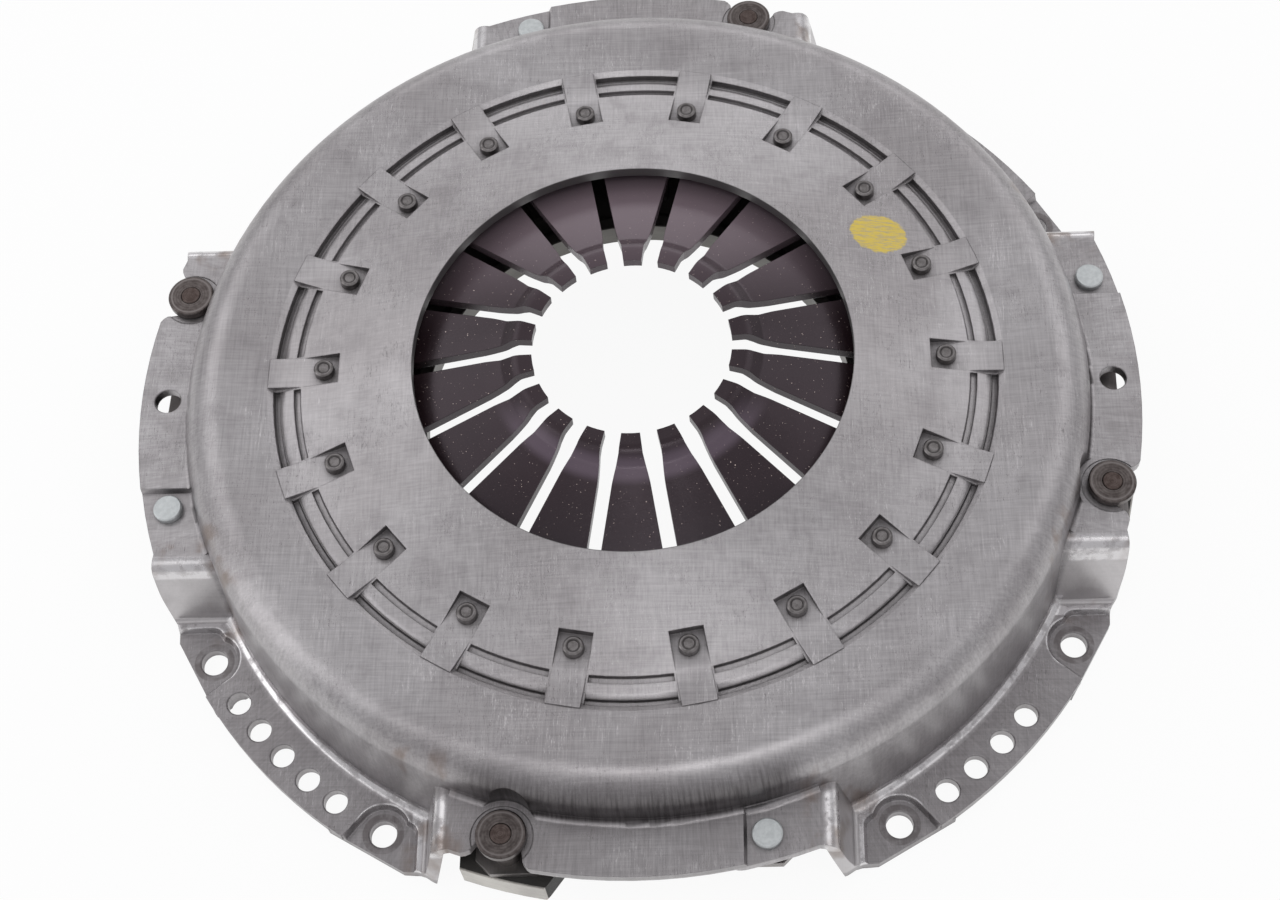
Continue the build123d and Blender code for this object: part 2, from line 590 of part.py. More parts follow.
def cover_rivet():
    """Rivet that holds a strap pack to the cover."""
    head_z = rivet_seat_z + TOUCH
    foot_z = pack_cover_top - pack_height - TOUCH
    top = head_z + COVER_RIVET_HEAD_H
    profile = Polyline(
        (0, foot_z - COVER_RIVET_FOOT_H), (COVER_RIVET_FOOT_R - 1, foot_z - COVER_RIVET_FOOT_H),
        (COVER_RIVET_FOOT_R, foot_z - COVER_RIVET_FOOT_H + 1), (COVER_RIVET_FOOT_R, foot_z),
        (COVER_RIVET_SHANK_R, foot_z), (COVER_RIVET_SHANK_R, head_z),
        (COVER_RIVET_HEAD_R, head_z), (COVER_RIVET_HEAD_R, top - 0.6),
        (COVER_RIVET_HEAD_R - 0.6, top), (0, top), close=True)
    return turned(make_face(profile.edges()))


def lug_rivet():
    """Rivet that holds straps, sleeve and stop washer to a lug."""
    head_top = FRICTION_Z + LUG_COUNTERBORE_DEPTH - TOUCH
    top = PAD_Z + TOUCH + STOP_WASHER_T + LUG_RIVET_TIP
    profile = Polyline(
        (0, head_top - LUG_RIVET_HEAD_H), (LUG_RIVET_HEAD_R - 1, head_top - LUG_RIVET_HEAD_H),
        (LUG_RIVET_HEAD_R, head_top - LUG_RIVET_HEAD_H + 1), (LUG_RIVET_HEAD_R, head_top),
        (LUG_RIVET_SHANK_R, head_top), (LUG_RIVET_SHANK_R, top - 0.3),
        (LUG_RIVET_SHANK_R - 0.3, top), (0, top), close=True)
    return turned(make_face(profile.edges()))


def spacer_sleeve():
    """Tube that carries the stop washer above the straps."""
    return ring(LUG_RIVET_SHANK_R + SLIP, SLEEVE_R, pack_lug_top + TOUCH, PAD_Z)


def stop_washer():
    """Thick turned washer that rests on the pad and holds the plate back."""
    z0 = PAD_Z + TOUCH
    bore, rim, top = LUG_RIVET_SHANK_R + SLIP, STOP_WASHER_R, z0 + STOP_WASHER_T
    profile = Polyline((bore, z0), (rim - WASHER_BEVEL, z0), (rim, z0 + WASHER_BEVEL),
                       (rim, top - WASHER_BEVEL), (rim - WASHER_BEVEL, top), (bore, top),
                       close=True)
    return turned(make_face(profile.edges()))


def around(shape, r, angles):
    """Copies of a piece as separate solids at polar places."""
    return Compound(children=[polar(r, angle) * shape for angle in angles])


# ================================================================ build
stop_angles = [unit + STOP_ANGLE for unit in UNIT_ANGLES]
cover_rivet_angles = [unit + COVER_RIVET_ANGLE for unit in UNIT_ANGLES]

nodes = {
    "cover": cover(),
    "diaphragm_spring": diaphragm_spring(),
    "fulcrum_wire_upper": wire_ring(UPPER_WIRE_D, upper_wire_z),
    "fulcrum_wire_lower": wire_ring(LOWER_WIRE_D, lower_wire_z),
    "fulcrum_rivets": around(fulcrum_rivet(), FULCRUM_R, fulcrum_angles),
    "pressure_plate": pressure_plate(),
    "strap_spacers": around(strap_spacer(), COVER_RIVET_R, cover_rivet_angles),
    "cover_strap_rivets": around(cover_rivet(), COVER_RIVET_R, cover_rivet_angles),
    "lug_rivets": around(lug_rivet(), STOP_R, stop_angles),
    "spacer_sleeves": around(spacer_sleeve(), STOP_R, stop_angles),
    "stop_washers": around(stop_washer(), STOP_R, stop_angles),
}
for unit_number, unit_angle in enumerate(UNIT_ANGLES, start=1):
    for leaf_number, letter in enumerate("abc"[:STRAP_LEAVES]):
        nodes[f"strap_{unit_number}_leaf_{letter}"] = Rot(Z=unit_angle) * strap_leaf(leaf_number)

os.makedirs("parts", exist_ok=True)
for name, shape in nodes.items():
    export_step(shape, f"parts/{name}.step")
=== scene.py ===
import bpy
import math
import numpy as np
from mathutils import Matrix, Vector


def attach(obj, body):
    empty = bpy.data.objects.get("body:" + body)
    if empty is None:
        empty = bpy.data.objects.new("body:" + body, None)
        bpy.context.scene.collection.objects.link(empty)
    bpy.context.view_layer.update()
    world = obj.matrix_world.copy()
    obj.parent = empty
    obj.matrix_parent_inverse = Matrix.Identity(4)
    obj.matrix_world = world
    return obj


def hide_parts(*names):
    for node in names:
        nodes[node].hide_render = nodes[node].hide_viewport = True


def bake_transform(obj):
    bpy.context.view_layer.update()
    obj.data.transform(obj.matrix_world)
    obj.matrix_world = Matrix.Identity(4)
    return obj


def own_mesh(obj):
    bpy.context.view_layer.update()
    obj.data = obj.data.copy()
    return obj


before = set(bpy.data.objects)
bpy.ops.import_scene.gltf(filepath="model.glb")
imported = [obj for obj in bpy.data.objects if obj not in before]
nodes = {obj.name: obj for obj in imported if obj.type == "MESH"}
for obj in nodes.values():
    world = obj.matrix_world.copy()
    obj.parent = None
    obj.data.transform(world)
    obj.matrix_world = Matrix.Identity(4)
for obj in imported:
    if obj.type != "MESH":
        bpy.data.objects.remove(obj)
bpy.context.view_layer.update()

# ---------------------------------------------------------------- exact shading of the CAD nodes
# The cover's revolved top line (radius, height) in millimetres, and the radii of its two bends.
COVER_LINE = [(93.7, 85.97), (162.3, 69.95), (166.0, 72.4), (204.3, 76.04), (208.66, 9.0), (235.8, 9.0)]
COVER_BENDS = [0, 0, 17.5, 5.0]
SHEET = 5.5

# Places that the finishes follow, in millimetres and degrees. Heights count from the mounting face,
# radii from the axis. Pairs are outward and round, in the frame of a strap unit.
PAD_LOW_Z, PAD_TOP_Z = 46.0, 50.5
PAD_EDGE = 80.0
FLANGE_TOP_Z = 9.5
SEAT_TOP_Z = 5.7
WALL_FOOT_R = 208.0
OPENING_R = 98.9
BOLT_HOLE = (194.86, 112.5)
DAB, DAB_SIZE = (112.6, 63.4), (12.6, 10.6)
FULCRUM_R, TABS = 140.0, 18
LUG_END_R, PLATE_BORE_R, FRICTION_Z = 229.45, 99.75, 10.2


def unit_place(radius, degrees):
    """A place in the frame of a strap unit."""
    return radius * math.cos(math.radians(degrees)), radius * math.sin(math.radians(degrees))


STOP = unit_place(218.5, -14.53)
STRAP_RIVET = unit_place(218.8, 14.64)


def line_elements(points, radii):
    """Straight and round elements of a bent line, each with its normal's rule."""
    parts = []
    start = np.array(points[0], float)
    for i, radius in enumerate(radii):
        corner = np.array(points[i + 1], float)
        back = np.array(points[i], float) - corner
        back /= np.linalg.norm(back)
        ahead = np.array(points[i + 2], float) - corner
        ahead /= np.linalg.norm(ahead)
        if radius < 0.1:
            parts.append(("line", start, corner))
            start = corner
            continue
        half = (math.pi - math.acos(float(np.clip(back @ ahead, -1, 1)))) / 2
        reach = radius * math.tan(half)
        middle = (back + ahead) / np.linalg.norm(back + ahead)
        centre = corner + middle * radius / math.cos(half)
        parts.append(("line", start, corner + back * reach))
        parts.append(("arc", centre, corner + back * reach, corner + ahead * reach, radius))
        start = corner + ahead * reach
    parts.append(("line", start, np.array(points[-1], float)))
    return parts


def cover_normals(place, facing):
    """Exact normals for points of the revolved sheet; rows of nan where a point is elsewhere."""
    mm = place * 1000
    r = np.hypot(mm[:, 0], mm[:, 1])
    flat = np.stack([r, mm[:, 2]], 1)
    outward = mm[:, :2] / np.maximum(r, 1e-6)[:, None]
    facing_r = (facing[:, :2] * outward).sum(1)
    best = np.full(len(r), 0.06)
    found = np.full((len(r), 2), np.nan)
    for part in line_elements(COVER_LINE, COVER_BENDS):
        if part[0] == "line":
            a, b = part[1], part[2]
            along = (b - a) / np.linalg.norm(b - a)
            normal = np.array([-along[1], along[0]])
            t = (flat - a) @ along
            inside = (t > -0.05) & (t < np.linalg.norm(b - a) + 0.05)
            for level in (0, -SHEET):
                off = np.abs((flat - a) @ normal - level)
                sign = np.sign(facing_r * normal[0] + facing[:, 2] * normal[1])
                near = inside & (off < best)
                best[near] = off[near]
                found[near] = (normal * sign[:, None])[near]
        else:
            centre, first, last, radius = part[1:]
            ray = flat - centre
            length = np.linalg.norm(ray, axis=1)
            unit = ray / np.maximum(length, 1e-9)[:, None]
            middle = (first + last) / 2 - centre
            middle /= np.linalg.norm(middle)
            spread = (first - centre) @ middle / radius
            inside = unit @ middle > spread - 0.003
            bulges = centre[1] < (first[1] + last[1]) / 2
            for level in ((radius, radius - SHEET) if bulges else (radius, radius + SHEET)):
                off = np.abs(length - level)
                sign = np.sign(facing_r * unit[:, 0] + facing[:, 2] * unit[:, 1])
                near = inside & (off < best)
                best[near] = off[near]
                found[near] = (unit * sign[:, None])[near]
    exact = np.concatenate([outward * found[:, :1], found[:, 1:]], 1)
    agrees = (exact * facing).sum(1) > 0.93
    exact[~agrees] = np.nan
    return exact


def smooth_node(obj, exact=None, limit=15.0):
    """Normals that run on smoothly where two CAD faces meet without an edge."""
    mesh = obj.data
    count = len(mesh.vertices)
    co = np.empty(count * 3)
    mesh.vertices.foreach_get("co", co)
    co = co.reshape(-1, 3)
    tris = np.empty(len(mesh.loops), int)
    mesh.loops.foreach_get("vertex_index", tris)
    tris = tris.reshape(-1, 3)
    a, b, c = co[tris[:, 0]], co[tris[:, 1]], co[tris[:, 2]]
    face = np.cross(b - a, c - a)
    size = np.linalg.norm(face, axis=1)
    face /= np.maximum(size, 1e-20)[:, None]
    face[size < 1e-14] = 0
    vertex = np.zeros((count, 3))
    for k in range(3):
        p, q, s = co[tris[:, k]], co[tris[:, (k + 1) % 3]], co[tris[:, (k + 2) % 3]]
        u, v = q - p, s - p
        u /= np.maximum(np.linalg.norm(u, axis=1), 1e-12)[:, None]
        v /= np.maximum(np.linalg.norm(v, axis=1), 1e-12)[:, None]
        angle = np.arccos(np.clip((u * v).sum(1), -1, 1))
        np.add.at(vertex, tris[:, k], face * angle[:, None])
    vertex /= np.maximum(np.linalg.norm(vertex, axis=1), 1e-12)[:, None]
    parent = np.arange(count)

    def root(i):
        while parent[i] != i:
            parent[i] = parent[parent[i]]
            i = parent[i]
        return i

    for t in tris:
        x, y, z = root(t[0]), root(t[1]), root(t[2])
        low = min(x, y, z)
        parent[x] = parent[y] = parent[z] = low
    island = np.array([root(i) for i in range(count)])
    bend = np.zeros(count)
    np.maximum.at(bend, island[tris[:, 0]], 1 - (face * vertex[tris[:, 0]]).sum(1))
    flat = bend[island] < 1e-5
    keys = np.round(co * 2e5).astype(np.int64)
    order = np.lexsort(keys.T)
    same = np.concatenate([[False], (np.diff(keys[order], axis=0) == 0).all(1)])
    starts = np.flatnonzero(~same)
    ends = np.append(starts[1:], count)
    close = math.cos(math.radians(limit))
    result = vertex.copy()
    for first, last in zip(starts, ends):
        if last - first < 2:
            continue
        group = order[first:last]
        normals = vertex[group]
        like = normals @ normals.T > close
        for i, v in enumerate(group):
            friends = group[like[i]]
            if flat[v] or len(friends) < 2:
                continue
            level = friends[flat[friends]]
            total = vertex[level[0]] if len(level) else vertex[friends].sum(0)
            result[v] = total / max(np.linalg.norm(total), 1e-12)
    if exact is not None:
        better = exact(co, result)
        known = ~np.isnan(better).any(1)
        result[known] = better[known]
    mesh.polygons.foreach_set("use_smooth", np.ones(len(mesh.polygons), bool))
    mesh.normals_split_custom_set([Vector(n) for n in result[tris.ravel()]])
    mesh.update()


for name, obj in nodes.items():
    smooth_node(obj, cover_normals if name == "cover" else None)


# ---------------------------------------------------------------- material building
class Graph:
    """A few short words for making shader nodes."""

    def __init__(self, name):
        self.material = bpy.data.materials.new(name)
        self.material.use_nodes = True
        self.tree = self.material.node_tree
        self.tree.nodes.clear()
        self.out = self.tree.nodes.new("ShaderNodeOutputMaterial")
        self.shader = self.tree.nodes.new("ShaderNodeBsdfPrincipled")
        self.tree.links.new(self.shader.outputs[0], self.out.inputs["Surface"])
        place = self.tree.nodes.new("ShaderNodeTexCoord")
        scale = self.tree.nodes.new("ShaderNodeVectorMath")
        scale.operation = "SCALE"
        scale.inputs["Scale"].default_value = 1000.0
        self.tree.links.new(place.outputs["Object"], scale.inputs[0])
        self.mm = scale.outputs[0]
        split = self.tree.nodes.new("ShaderNodeSeparateXYZ")
        self.tree.links.new(self.mm, split.inputs[0])
        self.x, self.y, self.z = split.outputs
        self.r = self.op("SQRT", self.add(self.mul(self.x, self.x), self.mul(self.y, self.y)))

    def put(self, socket, value):
        if isinstance(value, bpy.types.NodeSocket):
            self.tree.links.new(value, socket)
        elif isinstance(value, tuple) and len(value) == 3 and socket.type == "RGBA":
            socket.default_value = (*value, 1)
        elif socket.type == "RGBA":
            socket.default_value = (value, value, value, 1)
        else:
            socket.default_value = value

    def op(self, kind, a, b=None, c=None):
        node = self.tree.nodes.new("ShaderNodeMath")
        node.operation = kind
        for i, v in enumerate((a, b, c)):
            if v is not None:
                self.put(node.inputs[i], v)
        return node.outputs[0]

    def add(self, a, b):
        return self.op("ADD", a, b)

    def sub(self, a, b):
        return self.op("SUBTRACT", a, b)

    def mul(self, a, b):
        return self.op("MULTIPLY", a, b)

    def both(self, *values):
        total = values[0]
        for v in values[1:]:
            total = self.mul(total, v)
        return total

    def span(self, value, low, high, to_low=0.0, to_high=1.0):
        """value mapped from low..high to to_low..to_high, smoothly and clamped."""
        node = self.tree.nodes.new("ShaderNodeMapRange")
        node.interpolation_type = "SMOOTHSTEP"
        for key, v in zip(("Value", "From Min", "From Max", "To Min", "To Max"),
                          (value, low, high, to_low, to_high)):
            self.put(node.inputs[key], v)
        return node.outputs[0]

    def band(self, value, low, high, soft):
        """1 between low and high, falling to 0 over soft on each side."""
        return self.mul(self.span(value, low - soft, low), self.span(value, high, high + soft, 1.0, 0.0))

    def noise(self, scale, detail=3.0, stretch=(1, 1, 1), rough=0.55, seed=0.0, twist=0.0, at=None):
        """Noise whose grains are about 1 / scale millimetres; stretch divides its axes."""
        place = self.tree.nodes.new("ShaderNodeMapping")
        place.vector_type = "POINT"
        self.tree.links.new(self.mm if at is None else at, place.inputs[0])
        place.inputs["Rotation"].default_value = (0, 0, twist)
        place.inputs["Scale"].default_value = stretch
        place.inputs["Location"].default_value = (seed * 7.3, seed * 3.1, seed)
        node = self.tree.nodes.new("ShaderNodeTexNoise")
        self.tree.links.new(place.outputs[0], node.inputs["Vector"])
        node.inputs["Scale"].default_value = scale
        node.inputs["Detail"].default_value = detail
        node.inputs["Roughness"].default_value = rough
        return node.outputs["Fac"]

    def vector(self, x, y, z):
        node = self.tree.nodes.new("ShaderNodeCombineXYZ")
        for i, v in enumerate((x, y, z)):
            self.put(node.inputs[i], v)
        return node.outputs[0]

    def mix(self, factor, a, b, kind="MIX"):
        node = self.tree.nodes.new("ShaderNodeMix")
        node.data_type = "RGBA"
        node.blend_type = kind
        self.put(node.inputs[0], factor)
        self.put(node.inputs[6], a)
        self.put(node.inputs[7], b)
        return node.outputs[2]

    def shade(self, colour, amount):
        """colour times amount."""
        node = self.tree.nodes.new("ShaderNodeVectorMath")
        node.operation = "SCALE"
        self.put(node.inputs[0], colour)
        self.put(node.inputs["Scale"], amount)
        return node.outputs[0]

    def unit_frame(self):
        """Coordinates of the strap unit that a point belongs to: outward and round."""
        ax, ay = self.op("ABSOLUTE", self.x), self.op("ABSOLUTE", self.y)
        on_x = self.op("GREATER_THAN", ax, ay)
        out = self.op("MAXIMUM", ax, ay)
        on_y = self.sub(1.0, on_x)
        round_x = self.both(self.op("SIGN", self.x), self.y, on_x)
        round_y = self.both(self.op("SIGN", self.y), self.x, on_y, -1.0)
        return out, self.add(round_x, round_y)

    def distance(self, x, y, cx, cy):
        dx, dy = self.sub(x, cx), self.sub(y, cy)
        return self.op("SQRT", self.add(self.mul(dx, dx), self.mul(dy, dy)))

    def set(self, **values):
        for key, v in values.items():
            self.put(self.shader.inputs[key.replace("_", " ")], v)

    def relief(self, height, depth, strength=1.0, soften=0.0):
        """Bump of a height map, over edges softened by a small radius."""
        bump = self.tree.nodes.new("ShaderNodeBump")
        bump.inputs["Strength"].default_value = strength
        bump.inputs["Distance"].default_value = depth
        self.put(bump.inputs["Height"], height)
        if soften:
            edge = self.tree.nodes.new("ShaderNodeBevel")
            edge.samples = 4
            edge.inputs["Radius"].default_value = soften
            self.tree.links.new(edge.outputs[0], bump.inputs["Normal"])
        self.tree.links.new(bump.outputs[0], self.shader.inputs["Normal"])

    def crevice(self, reach, samples=6):
        """1 in the open, near 0 deep in a corner."""
        node = self.tree.nodes.new("ShaderNodeAmbientOcclusion")
        node.samples = samples
        node.inputs["Distance"].default_value = reach
        return node.outputs["AO"]

    def scratches(self, seed, angle, width=0.035, length=26.0):
        """Thin random scratches that run in about one direction."""
        wave = self.noise(1.0, 2.0, (0.9, 1.0 / length, 0.9), 0.4, seed, angle)
        gate = self.noise(1.0, 1.0, (1 / 30, 1 / 30, 1 / 30), 0.5, seed + 3)
        line = self.op("ABSOLUTE", self.sub(wave, 0.5))
        thin = self.span(line, 0.0, width * 0.2, 1.0, 0.0)
        return self.mul(thin, self.span(gate, 0.54, 0.62))


def finish_node(names, graph):
    for n in names:
        mesh = nodes[n].data
        mesh.materials.clear()
        mesh.materials.append(graph.material)


# ---------------------------------------------------------------- cover: drawn and scuffed sheet steel
g = Graph("drawn_sheet_steel")
out, around = g.unit_frame()
beside = g.op("ABSOLUTE", around)
angle = g.op("ARCTAN2", g.y, g.x)
polar = g.vector(g.mul(angle, 200.0), g.z, g.r)
cloud = g.noise(0.011, 3.0, seed=1.0)
patch = g.noise(0.05, 4.0, seed=5.0, rough=0.62)
grain_x = g.noise(1.0, 3.0, (0.045, 1.15, 0.5), 0.62, 2.0)
grain_y = g.noise(1.0, 3.0, (1.15, 0.045, 0.5), 0.62, 4.0)
grain = g.add(g.mul(grain_x, 0.5), g.mul(grain_y, 0.5))
fine = g.noise(2.4, 2.0, seed=9.0)
streak = g.noise(1.0, 3.0, (0.8, 0.05, 0.05), 0.62, 6.0, at=polar)

# Where things are on the pressing.
on_wall = g.span(g.r, 190.0, 204.0)
pads = g.both(g.band(g.z, PAD_LOW_Z, PAD_TOP_Z, 1.0), g.span(g.r, 205.5, WALL_FOOT_R))
ramp_bend = g.both(g.band(beside, PAD_EDGE, 86.5, 2.5), g.band(g.z, 40.0, PAD_TOP_Z, 2.0),
                   g.span(g.r, WALL_FOOT_R, 211.0))
ramp = g.both(g.band(beside, PAD_EDGE, 94.0, 1.0), g.band(g.z, FLANGE_TOP_Z, 44.0, 2.0),
              g.span(g.r, WALL_FOOT_R, 210.0))
flange = g.both(g.span(g.z, 9.6, 10.4, 1.0, 0.0), g.span(g.r, 209.5, 211.0))
boss = g.distance(out, beside, *BOLT_HOLE)
seat = g.span(g.z, 5.45, SEAT_TOP_Z, 1.0, 0.0)
seat_rim = g.both(g.band(boss, 10.6, 12.6, 0.7), g.band(g.z, SEAT_TOP_Z, 9.3, 0.2))
lip = g.both(g.band(beside, 95.0, 99.0, 0.7), g.band(g.z, SEAT_TOP_Z, 9.3, 0.2))
foot = g.both(g.band(g.r, 207.8, 211.2, 1.0), g.band(g.z, 8.7, 13.0, 1.2))
polished = g.op("MAXIMUM", g.op("MAXIMUM", ramp_bend, g.op("MAXIMUM", seat_rim, lip)), foot)
worn = g.noise(0.16, 3.0, seed=41.0, rough=0.6)
polished = g.mul(polished, g.span(worn, 0.36, 0.54, 0.25, 1.0))

steel = g.mix(g.span(cloud, 0.35, 0.65), (0.345, 0.327, 0.333), (0.412, 0.396, 0.404))
steel = g.mix(g.mul(g.span(patch, 0.50, 0.66), 0.36), steel, (0.27, 0.254, 0.262))
tone = g.add(1.0, g.mul(g.sub(grain, 0.5), 1.05))
tone = g.add(tone, g.both(g.sub(streak, 0.5), on_wall, 0.55))
steel = g.shade(steel, tone)
marks = g.op("MAXIMUM", g.scratches(1.0, 0.5), g.scratches(2.0, 2.1))
marks = g.op("MAXIMUM", marks, g.scratches(8.0, 1.25, 0.03, 40.0))
steel = g.mix(g.mul(marks, 0.75), steel, (0.66, 0.64, 0.65))
nicks = g.op("MAXIMUM", g.scratches(14.0, 0.9, 0.045, 7.0), g.scratches(17.0, 2.6, 0.045, 9.0))
steel = g.mix(g.mul(nicks, 0.7), steel, (0.10, 0.088, 0.092))

smear = g.noise(0.11, 4.0, seed=12.0, rough=0.6)
# Painted shade: the pads are darkened, most strongly the pad on -Y.
steel = g.mix(g.both(pads, g.span(g.y, -215.0, -140.0, 0.26, 0.03)), steel, (0.115, 0.105, 0.107))
steel = g.mix(g.both(g.span(smear, 0.47, 0.62), pads, 0.35), steel, (0.27, 0.255, 0.258))
steel = g.mix(g.both(flange, 0.28), steel, (0.13, 0.12, 0.122))
steel = g.mix(g.both(seat, 0.15), steel, (0.13, 0.12, 0.122))
# Painted light: the steep ramp faces are made paler.
steel = g.mix(g.both(ramp, 0.50), steel, (0.62, 0.60, 0.605))
steel = g.mix(g.both(polished, 0.85), steel, (0.68, 0.665, 0.675))
fretted = g.both(g.band(boss, 6.6, 8.9, 0.5), seat, g.span(smear, 0.38, 0.55, 0.35, 1.0))
steel = g.mix(g.mul(fretted, 0.55), steel, (0.07, 0.055, 0.052))
stain = g.both(g.span(g.noise(0.05, 3.0, seed=21.0, stretch=(1, 1, 0.4)), 0.52, 0.66),
               g.band(beside, 76.0, 98.0, 8.0), g.span(g.r, 195.0, 203.0))
steel = g.mix(g.mul(stain, 0.6), steel, (0.20, 0.145, 0.115))
# A dark wall above the pads stands in for reflections; it reaches highest above the pad on -Y.
top_z = g.span(g.y, -170.0, -130.0, 76.0, 66.0)
above_pad = g.both(g.span(g.z, 50.0, 51.0), g.span(g.z, g.sub(top_z, 12.0), top_z, 1.0, 0.0),
                   g.span(g.r, 186.0, 200.0), g.span(beside, 58.0, 78.0, 1.0, 0.0),
                   g.span(streak, 0.36, 0.6, 1.0, 0.8))
steel = g.mix(g.mul(above_pad, 0.95), steel, (0.085, 0.078, 0.08))

# Painted shade: corners and crevices found by ambient occlusion are darkened; the same mask also raises
# roughness.
corner = g.crevice(0.006)
painted_crevice_shade = g.span(corner, 0.25, 0.85, 1.0, 0.0)
steel = g.mix(g.mul(painted_crevice_shade, 0.55), steel, (0.045, 0.04, 0.04))
edge = g.span(g.r, OPENING_R - 0.05, OPENING_R + 0.05, 1.0, 0.0)
steel = g.mix(edge, steel, (0.20, 0.195, 0.195))

# The yellow paint dab beside one tab, thin and brushed.
from_dab = g.sub(g.x, DAB[0]), g.sub(g.y, DAB[1])
dab_x = g.add(g.mul(from_dab[0], 0.94), g.mul(from_dab[1], -0.2))
dab_y = g.add(g.mul(from_dab[0], 0.2), g.mul(from_dab[1], 0.94))
dab_r = g.op("SQRT", g.add(g.op("POWER", g.mul(dab_x, 1 / DAB_SIZE[0]), 2.0),
                           g.op("POWER", g.mul(dab_y, 1 / DAB_SIZE[1]), 2.0)))
ragged = g.noise(0.35, 3.0, seed=31.0)
dab = g.span(g.add(dab_r, g.mul(g.sub(ragged, 0.5), 0.3)), 0.93, 1.03, 1.0, 0.0)
thin = g.noise(1.0, 3.0, (0.1, 1.3, 1.0), 0.6, 33.0)
dab = g.both(dab, g.span(thin, 0.34, 0.58, 0.45, 1.0), g.span(g.z, 62.0, 64.0))
steel = g.mix(dab, steel, (0.66, 0.50, 0.085))

rough = g.add(0.37, g.mul(g.sub(grain, 0.5), 0.24))
rough = g.add(rough, g.mul(g.sub(patch, 0.5), 0.18))
rough = g.mix(g.mul(polished, 0.85), rough, 0.13)
rough = g.add(rough, g.mul(dab, 0.2))
rough = g.add(rough, g.add(g.mul(painted_crevice_shade, 0.2), g.mul(edge, 0.25)))
g.set(Base_Color=steel, Metallic=g.sub(1.0, g.mul(dab, 0.9)), Roughness=rough)
height = g.add(g.mul(grain, 0.6), g.mul(fine, 0.25))
height = g.sub(height, g.mul(g.op("MAXIMUM", marks, nicks), 0.8))
height = g.add(height, g.both(streak, on_wall, 0.6))
g.relief(g.mul(height, g.add(1.0, g.mul(polished, -0.7))), 0.00012, 0.35, soften=0.0008)
finish_node(["cover"], g)

# ---------------------------------------------------------------- diaphragm spring: dark phosphate
# Its tone also stands in for studio reflections: paler toward +Y and in the hollow near the tips,
# darker at the rim on -Y.
g = Graph("phosphated_spring_steel")
cloud = g.noise(0.02, 3.0, seed=1.0)
speck = g.noise(1.6, 2.0, seed=3.0, rough=0.7)
grit = g.noise(4.5, 1.0, seed=5.0)
glint = g.span(g.noise(1.15, 1.0, seed=7.0, rough=0.7), 0.735, 0.77)
dark = g.mix(g.span(cloud, 0.3, 0.7), (0.012, 0.0065, 0.008), (0.021, 0.0125, 0.015))
dark = g.mix(g.mul(g.span(speck, 0.64, 0.74), 0.35), dark, (0.10, 0.07, 0.065))
dark = g.mix(g.mul(glint, 0.9), dark, (0.75, 0.62, 0.56))
dark = g.mix(g.span(g.y, 10.0, 90.0, 0.0, 0.85), dark, (0.170, 0.130, 0.150))
hollow = g.both(g.band(g.r, 58.0, 62.5, 5.0), g.span(g.y, -20.0, -45.0))
dark = g.mix(g.mul(hollow, 0.55), dark, (0.150, 0.115, 0.150))
dark = g.shade(dark, g.span(g.y, -95.0, -55.0, 0.5, 1.0))
g.set(Base_Color=dark, Metallic=0.0, Roughness=g.add(0.22, g.mul(g.sub(grit, 0.5), 0.24)))
g.set(Specular_IOR_Level=0.46, Specular_Tint=(1.0, 0.86, 0.96))
g.relief(g.add(g.mul(grit, 0.7), speck), 0.00010, 0.30, soften=0.0005)
finish_node(["diaphragm_spring"], g)


# ---------------------------------------------------------------- rivets, washers and sleeves
def turned_metal(name, places, low, high, rings, rough, metallic=1.0, rim=None):
    """Metal with turning marks about a place in its unit's frame, or about each tab's rivet."""
    graph = Graph(name)
    x, y = graph.unit_frame()
    if places is None:
        angle = graph.op("ARCTAN2", graph.y, graph.x)
        local = graph.op("PINGPONG", angle, math.pi / TABS)
        x = graph.mul(graph.r, graph.op("COSINE", local))
        y = graph.mul(graph.r, graph.op("SINE", local))
        places = (FULCRUM_R, 0.0)
    d = graph.distance(x, y, *places)
    wave = graph.op("SINE", graph.mul(graph.add(d, graph.mul(graph.noise(0.3, 2.0), 0.4)), rings))
    mottle = graph.noise(0.45, 3.0, seed=3.0, rough=0.6)
    colour = graph.mix(graph.span(mottle, 0.3, 0.7), low, high)
    colour = graph.shade(colour, graph.add(1.0, graph.mul(wave, 0.10)))
    if rim is not None:
        inner, outer, tint = rim
        colour = graph.mix(graph.mul(graph.band(d, inner, outer, 0.3), 0.8), colour, tint)
    # Painted shade: crevices found by ambient occlusion are darkened.
    shade = graph.span(graph.crevice(0.004, 4), 0.2, 0.8, 1.0, 0.0)
    colour = graph.mix(graph.mul(shade, 0.5), colour, (0.03, 0.027, 0.026))
    graph.set(Base_Color=colour, Metallic=metallic,
              Roughness=graph.add(rough, graph.mul(graph.sub(mottle, 0.5), 0.2)))
    graph.relief(graph.add(graph.mul(wave, 0.4), mottle), 0.00008, 0.4, soften=0.0004)
    return graph


finish_node(["fulcrum_rivets"],
            turned_metal("headed_rivet", None, (0.155, 0.145, 0.142), (0.25, 0.235, 0.235), 9.0, 0.36,
                         rim=(2.5, 2.9, (0.06, 0.055, 0.055))))
finish_node(["stop_washers", "spacer_sleeves"],
            turned_metal("turned_washer", STOP, (0.082, 0.069, 0.066), (0.135, 0.118, 0.113), 5.2, 0.32,
                         rim=(8.9, 9.3, (0.21, 0.19, 0.185))))
finish_node(["lug_rivets"],
            turned_metal("brown_rivet", STOP, (0.070, 0.052, 0.047), (0.115, 0.090, 0.083), 7.0, 0.40))
finish_node(["cover_strap_rivets"],
            turned_metal("zinc_rivet", STRAP_RIVET, (0.50, 0.525, 0.53), (0.60, 0.625, 0.63),
                         0.0, 0.44, 0.75))


